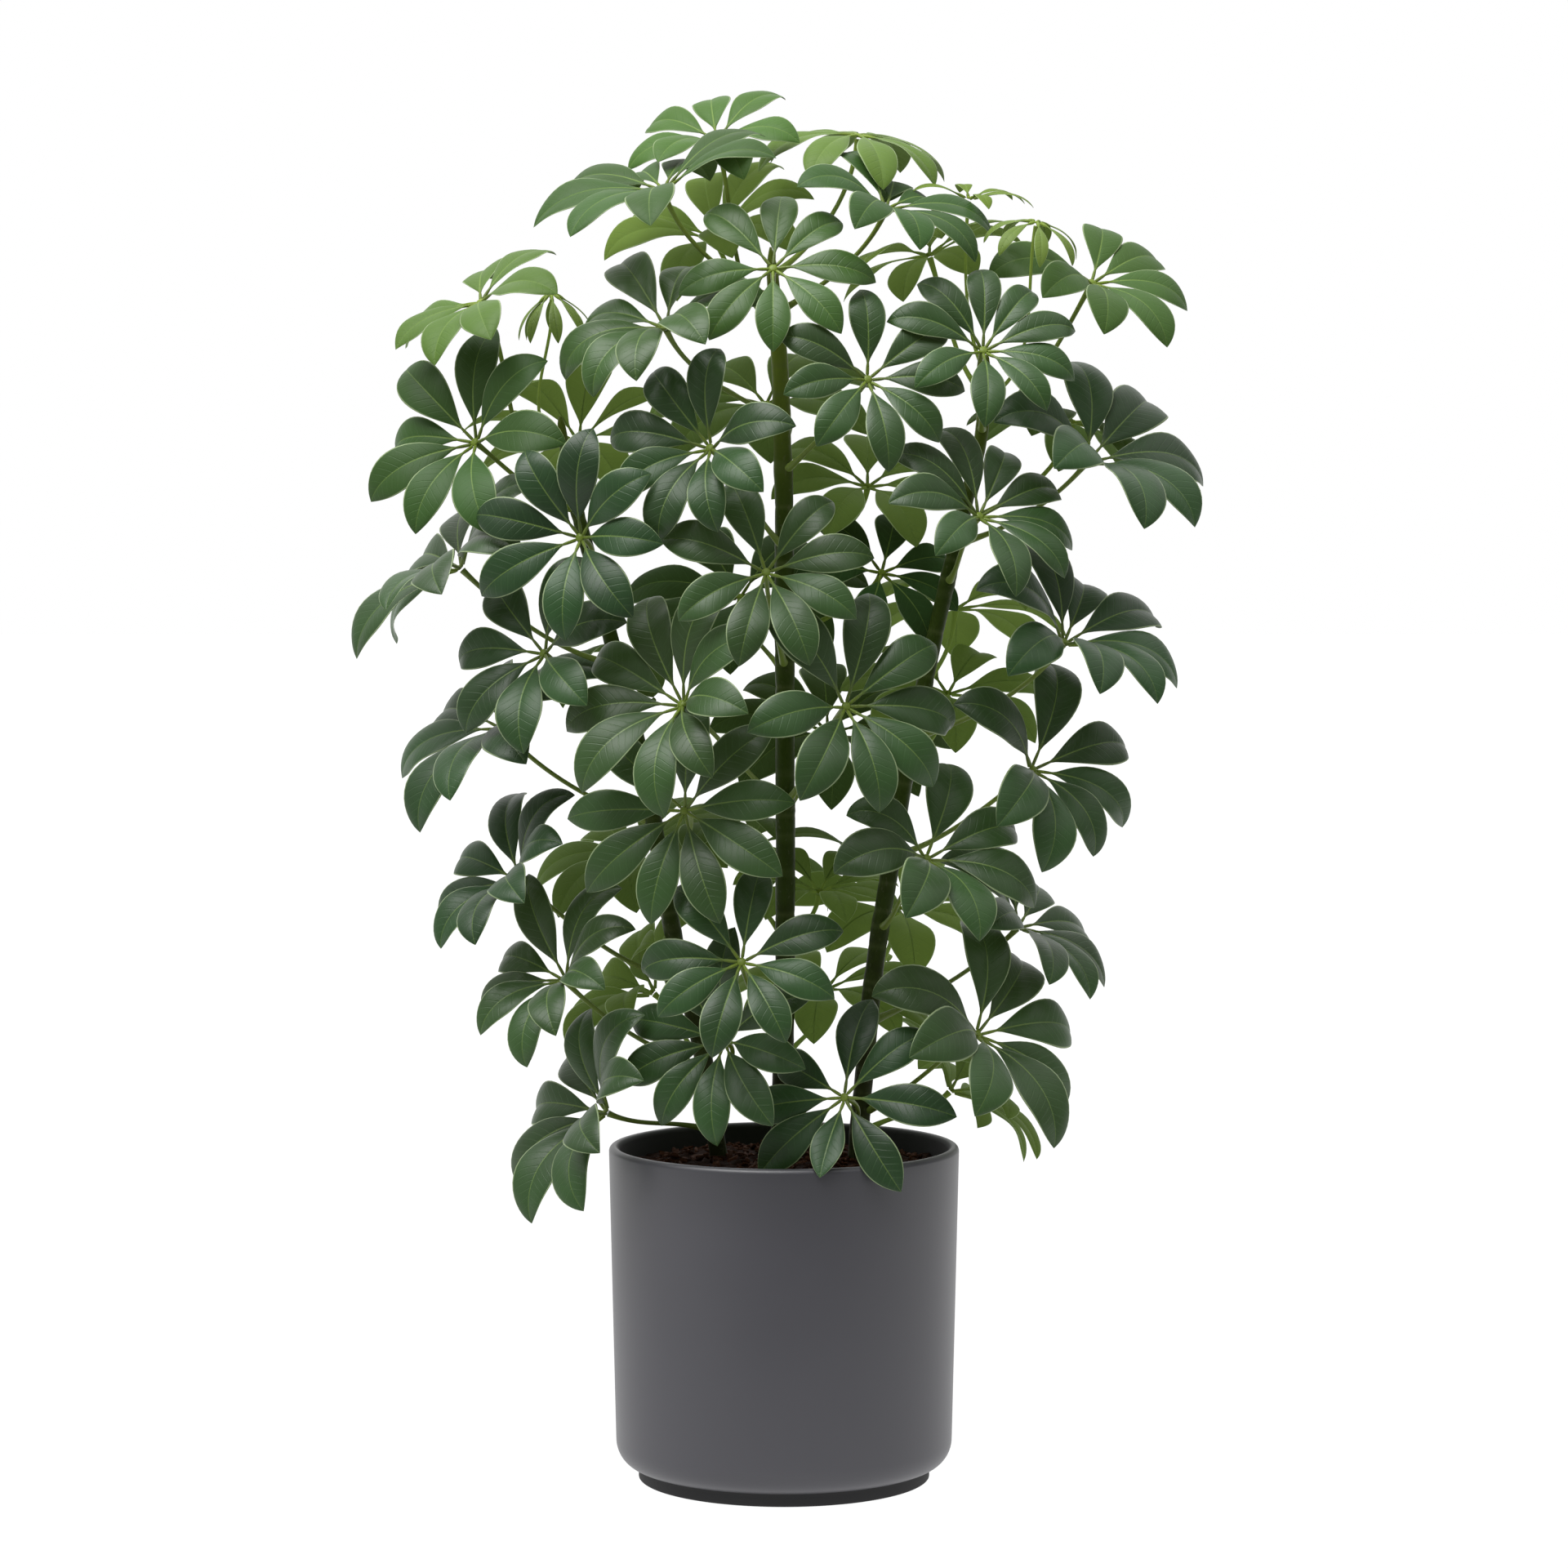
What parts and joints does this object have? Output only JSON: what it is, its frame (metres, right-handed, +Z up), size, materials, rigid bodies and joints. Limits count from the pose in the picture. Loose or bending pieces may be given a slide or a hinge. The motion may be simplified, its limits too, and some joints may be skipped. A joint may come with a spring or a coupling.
{
  "type": "potted umbrella plant",
  "caption": "Bushy potted umbrella plant: slender green stems in dark soil carry long-stalked whorls of glossy drooping leaflets above a plain dark grey round pot.",
  "frame": {"origin": "centre of the underside of the pot's foot, on the surface that the pot stands on", "axes": "+Z up along the pot's axis; +X to the right and -Y towards the viewer of the front, where the leaves are fullest"},
  "size_m": [0.6434, 0.3609, 1.0487],
  "materials": {
    "pot": "satin, smooth, dark grey",
    "soil": "rough dark bark mix",
    "stem": "matt green, browner and ringed towards the soil",
    "leaf": "glossy, smooth, lighter veins and underside",
    "young_leaf": "glossy, smooth, light yellow green"
  },
  "bodies": {
    "root": {"leaf_01": "leaf", "leaf_02": "leaf", "leaf_03": "leaf", "leaf_04": "leaf", "leaf_05": "leaf", "leaf_06": "leaf", "leaf_07": "leaf", "leaf_08": "young_leaf", "leaf_09": "leaf", "leaf_10": "leaf", "leaf_11": "young_leaf", "leaf_12": "leaf", "leaf_14": "leaf", "leaf_15": "leaf", "leaf_16": "leaf", "leaf_17": "leaf", "leaf_18": "leaf", "leaf_19": "leaf", "leaf_20": "leaf", "leaf_21": "leaf", "leaf_22": "leaf", "leaf_23": "leaf", "leaf_24": "leaf", "leaf_25": "leaf", "leaf_26": "leaf", "leaf_27": "leaf", "leaf_28": "leaf", "leaf_29": "leaf", "leaf_30": "leaf", "leaf_31": "leaf", "leaf_32": "leaf", "leaf_33": "leaf", "leaf_34": "leaf", "leaf_35": "leaf", "leaf_36": "leaf", "leaf_37": "leaf", "leaf_38": "leaf", "leaf_39": "leaf", "leaf_40": "leaf", "leaf_41": "leaf", "leaf_42": "leaf", "leaf_43": "leaf", "leaf_44": "leaf", "leaf_45": "leaf", "leaf_46": "leaf", "leaf_47": "leaf", "leaf_48": "leaf", "leaf_49": "young_leaf", "leaf_51": "leaf", "leaf_52": "leaf", "leaf_54": "leaf", "leaf_55": "leaf", "leaf_56": "leaf", "leaf_58": "leaf", "leaf_59": "leaf", "pot": "pot", "soil": "soil", "stem_centre": "stem", "stem_left": "stem", "stem_right": "stem"}
  },
  "joints": []
}
